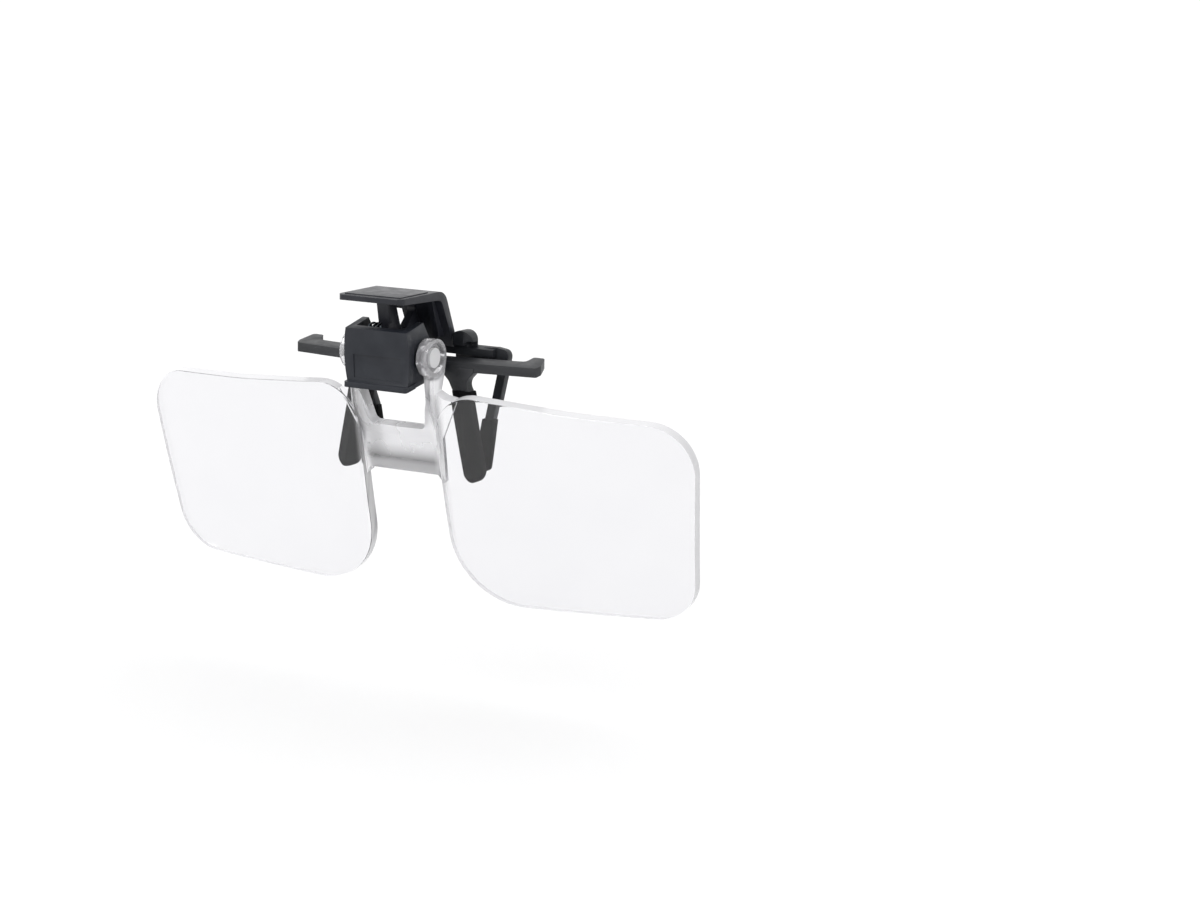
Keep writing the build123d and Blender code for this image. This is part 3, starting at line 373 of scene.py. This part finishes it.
def softened(node, material, width):
    """Copy of a CAD node with small rounds on its edges, which then stands for the node."""
    source = frame["nodes"][node]
    mesh = source.data.copy()
    mesh.name = node + "_moulded"
    item = bpy.data.objects.new(node + "_moulded", mesh)
    bpy.context.scene.collection.objects.link(item)
    item.matrix_world = source.matrix_world.copy()
    shape = bmesh.new()
    shape.from_mesh(mesh)
    bmesh.ops.remove_doubles(shape, verts=shape.verts, dist=MERGE_DISTANCE)
    bmesh.ops.dissolve_limit(
        shape, angle_limit=FLAT_ANGLE, verts=shape.verts, edges=shape.edges, delimit={"NORMAL"}
    )
    shape.to_mesh(mesh)
    shape.free()
    if mesh.has_custom_normals:
        mesh.normals_split_custom_set([(0, 0, 0)] * len(mesh.loops))
    rounding = item.modifiers.new("edge_round", "BEVEL")
    rounding.width = width
    rounding.segments = ROUND_SEGMENTS
    rounding.limit_method = "ANGLE"
    rounding.angle_limit = SHARP_ANGLE
    rounding.use_clamp_overlap = True
    depsgraph = bpy.context.evaluated_depsgraph_get()
    rounded = bpy.data.meshes.new_from_object(item.evaluated_get(depsgraph))
    item.modifiers.clear()
    item.data = rounded
    rounded.polygons.foreach_set("use_smooth", [True] * len(rounded.polygons))
    rounded.set_sharp_from_angle(angle=SMOOTH_ANGLE)
    set_material(item, material)
    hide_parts(node)
    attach(item, BODY_OF[node])


def area_light(name, place, size, power):
    """Rectangular lamp aimed at the object."""
    data = bpy.data.lights.new(name, "AREA")
    data.shape = "RECTANGLE"
    data.size, data.size_y = size
    data.energy = power
    lamp = bpy.data.objects.new(name, data)
    bpy.context.scene.collection.objects.link(lamp)
    lamp.location = place
    lamp.rotation_euler = (LIGHT_AIM - Vector(place)).to_track_quat("-Z", "Y").to_euler()
    return lamp


PLASTIC = moulded_plastic(
    "dark_plastic",
    dark=(0.009, 0.0105, 0.015, 1),
    light=(0.014, 0.016, 0.021, 1),
    rough_low=0.36,
    rough_high=0.48,
    grain=PLASTIC_GRAIN,
    bump_strength=0.22,
    specular=0.30,
)
LEVER_PLASTIC = moulded_plastic(
    "dark_plastic_lever",
    dark=(0.009, 0.010, 0.014, 1),
    light=(0.014, 0.015, 0.020, 1),
    rough_low=0.34,
    rough_high=0.46,
    grain=PLASTIC_GRAIN,
    bump_strength=0.20,
    specular=0.32,
)
JAW_PLASTIC = moulded_plastic(
    "dark_plastic_jaw",
    dark=(0.011, 0.012, 0.014, 1),
    light=(0.016, 0.017, 0.020, 1),
    rough_low=0.38,
    rough_high=0.50,
    grain=PLASTIC_GRAIN,
    bump_strength=0.22,
    specular=0.42,
)
# Painted shade: a darker copy of the jaw plastic for the rear jaw, which sits further back
SHADED_REAR_PLASTIC = moulded_plastic(
    "dark_plastic_rear_shaded",
    dark=(0.008, 0.009, 0.0115, 1),
    light=(0.012, 0.0135, 0.016, 1),
    rough_low=0.40,
    rough_high=0.52,
    grain=PLASTIC_GRAIN,
    bump_strength=0.22,
    specular=0.26,
)
RUBBER = moulded_plastic(
    "pad_rubber",
    dark=(0.003, 0.003, 0.0035, 1),
    light=(0.006, 0.006, 0.0065, 1),
    rough_low=0.62,
    rough_high=0.76,
    grain=RUBBER_GRAIN,
    bump_strength=0.4,
    specular=0.06,
)
CLEAR = clear_acrylic("clear_acrylic", EAR_CLEARNESS)
PIN_CLEAR = clear_acrylic("clear_acrylic_pin", PIN_CLEARNESS)
STEEL = brushed_steel("steel")

BODY_OF = {node: body for body, nodes in frame["record"]["behaviour"]["bodies"].items() for node in nodes}

# Opaque pieces: copies of the CAD nodes with rounded edges
softened("housing", PLASTIC, PLASTIC_ROUND)
softened("front_jaw", JAW_PLASTIC, JAW_ROUND)
# the rear jaw wears the darker copy, which is painted shade
softened("rear_jaw", SHADED_REAR_PLASTIC, PLASTIC_ROUND)
softened("thumb_lever", LEVER_PLASTIC, FINE_ROUND)
for pad in ("front_pad_left", "front_pad_right", "rear_pad_left", "rear_pad_right"):
    softened(pad, RUBBER, FINE_ROUND)

# Clear pieces keep the CAD's own smooth faces, and the pieces inside need no more than a material
for material, nodes_of_it in (
    (CLEAR, ("twin_lens",)),
    (PIN_CLEAR, ("flip_pin_left", "flip_pin_right")),
    (STEEL, ("jaw_pin", "torsion_spring")),
    (RUBBER, ("friction_ring_left", "friction_ring_right")),
):
    for node in nodes_of_it:
        set_material(frame["nodes"][node], material)

# Camera
camera_data = bpy.data.cameras.new("camera")
camera_data.lens = CAMERA_LENS
camera_data.sensor_width = CAMERA_SENSOR
camera_data.sensor_fit = "HORIZONTAL"
camera_data.clip_start = CAMERA_CLIP_START
camera = bpy.data.objects.new("camera", camera_data)
bpy.context.scene.collection.objects.link(camera)
turn = Matrix((CAMERA_RIGHT, CAMERA_UP, -CAMERA_LOOK)).transposed().to_4x4()
camera.matrix_world = Matrix.Translation(CAMERA_PLACE) @ turn
bpy.context.scene.camera = camera

# Floor
floor_height = CAD_BOX[0][2] - FLOOR_GAP
floor_mesh = bpy.data.meshes.new("floor")
floor_mesh.from_pydata(
    [
        (-FLOOR_HALF, -FLOOR_HALF, floor_height),
        (FLOOR_HALF, -FLOOR_HALF, floor_height),
        (FLOOR_HALF, FLOOR_HALF, floor_height),
        (-FLOOR_HALF, FLOOR_HALF, floor_height),
    ],
    [],
    [(0, 1, 2, 3)],
)
floor = bpy.data.objects.new("floor", floor_mesh)
bpy.context.scene.collection.objects.link(floor)
floor_material, floor_nodes, floor_links, floor_shader = new_material("floor_white")
floor_cloud = object_noise(floor_nodes, floor_links, FLOOR_CLOUD_SCALE, detail=2.0)
floor_tone = ramp_between(
    floor_nodes, floor_links, floor_cloud, FLOOR_STOPS, grey(FLOOR_LOW), grey(FLOOR_HIGH)
)
floor_links.new(floor_tone, floor_shader.inputs["Base Color"])
floor_shader.inputs["Roughness"].default_value = FLOOR_ROUGHNESS
floor_mesh.materials.append(floor_material)

# Studio
world = bpy.data.worlds.new("studio")
bpy.context.scene.world = world
world.use_nodes = True
world_nodes = world.node_tree.nodes
world_links = world.node_tree.links
background = world_nodes["Background"]
direction = world_nodes.new("ShaderNodeTexCoord")
parts = world_nodes.new("ShaderNodeSeparateXYZ")
world_links.new(direction.outputs["Generated"], parts.inputs[0])
sky = ramp_between(world_nodes, world_links, parts.outputs["Z"], SKY_STOPS, grey(SKY_SIDE), grey(SKY_TOP))
world_links.new(sky, background.inputs["Color"])
background.inputs["Strength"].default_value = SKY_STRENGTH

# Lamps, which light the object only, so that the floor stays an even white
lamps = [
    area_light("key_light", place=(-0.25, -0.30, 0.45), size=(0.30, 0.30), power=2.6),
    area_light("side_light", place=(0.45, -0.15, 0.25), size=(0.25, 0.35), power=0.5),
]
unlit = bpy.data.collections.new("lamps_leave_out")
unlit.objects.link(floor)
unlit.collection_objects[0].light_linking.link_state = "EXCLUDE"
for lamp in lamps:
    lamp.light_linking.receiver_collection = unlit
bpy.context.scene.view_settings.view_transform = "Standard"
